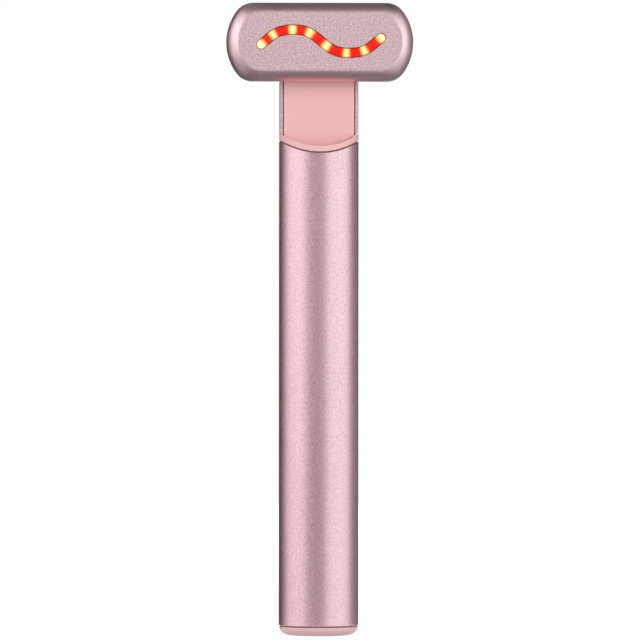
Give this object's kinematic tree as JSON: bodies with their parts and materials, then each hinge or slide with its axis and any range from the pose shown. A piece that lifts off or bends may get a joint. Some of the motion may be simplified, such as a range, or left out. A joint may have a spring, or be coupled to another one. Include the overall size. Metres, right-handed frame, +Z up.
{
  "type": "microcurrent facial wand",
  "caption": "Slim facial massage wand: round metal handle, moulded neck and a swivelling bar-shaped metal head with a red wave-shaped light window.",
  "frame": {"origin": "centre of the base, on the handle tube's axis", "axes": "+Z up along the handle towards the head, -Y out of the treatment face, +X to the viewer's right"},
  "size_m": [0.047, 0.02, 0.1585],
  "materials": {
    "rose_metal": "satin, fine-grained rose plating",
    "blush_plastic": "satin moulded",
    "red_lens": "clear red, lit from behind",
    "light": "lit",
    "white_board": "solder-masked laminate",
    "green_board": "solder-masked laminate",
    "black_plastic": "moulded",
    "black_jacket": "smooth cable jacket",
    "ivory_plastic": "moulded",
    "clear_plastic": "clear",
    "steel": "stamped or turned",
    "brass": "plain",
    "blue_wrap": "shrink wrap",
    "amber_film": "film",
    "grey_rubber": "smooth",
    "grey_foam": "dense foam"
  },
  "bodies": {
    "handle": {"handle_tube": "rose_metal", "neck_frame": "rose_metal", "neck_collar": "blush_plastic", "neck_cover": "blush_plastic", "neck_seal": "grey_rubber", "end_cap": "blush_plastic", "end_cap_seal": "grey_rubber", "tact_switch": "black_plastic", "charging_shell": "steel", "charging_tongue": "black_plastic", "light_pipe": "clear_plastic", "status_led": "light", "base_board": "green_board", "base_lead": "black_jacket", "inner_chassis": "ivory_plastic", "battery_cell": "blue_wrap", "battery_tab_plus": "steel", "battery_tab_minus": "steel", "battery_pad": "grey_foam", "main_board": "green_board", "microcontroller": "black_plastic", "power_inductor": "grey_rubber", "storage_capacitor": "steel", "charge_chip": "black_plastic", "lead_socket": "ivory_plastic", "cable_socket": "ivory_plastic", "grip_contact": "brass", "motor_boot": "grey_rubber", "motor_can": "steel", "head_cable": "black_jacket", "swivel_bush": "ivory_plastic", "wave_washer": "steel"},
    "power_button": {"power_button": "blush_plastic", "switch_plunger": "ivory_plastic"},
    "motor_rotor": {"motor_weight": "brass"},
    "head": {"swivel_shaft": "steel", "stop_washer": "steel", "retaining_clip": "steel", "hub_screw_1": "steel", "hub_screw_2": "steel", "hub_screw_3": "steel", "head_back": "blush_plastic", "head_gasket": "grey_rubber", "head_shell": "rose_metal", "light_window": "red_lens", "heater_film": "amber_film", "thermistor": "black_plastic", "led_board": "white_board", "electrode_spring": "brass", "head_connector": "ivory_plastic", "board_screw_1": "steel", "board_screw_2": "steel", "led_1": "light", "led_2": "light", "led_3": "light", "led_4": "light", "led_5": "light", "led_6": "light", "led_7": "light", "led_8": "light"}
  },
  "joints": [
    {"name": "head_swivel", "type": "hinge", "parent": "handle", "child": "head", "pos_m": [0, 0, 0.1486], "axis": [0, 1, 0], "range_deg": [-90, 90]},
    {"name": "button_press", "type": "slide", "parent": "handle", "child": "power_button", "axis": [0, 0, 1], "range_m": [0, 0.00035], "stiffness_N_per_m": 2000, "springref_m": -0.0002},
    {"name": "motor_spin", "type": "hinge", "parent": "handle", "child": "motor_rotor", "pos_m": [0, 0, 0.1175], "axis": [0, 0, 1], "continuous": true}
  ]
}
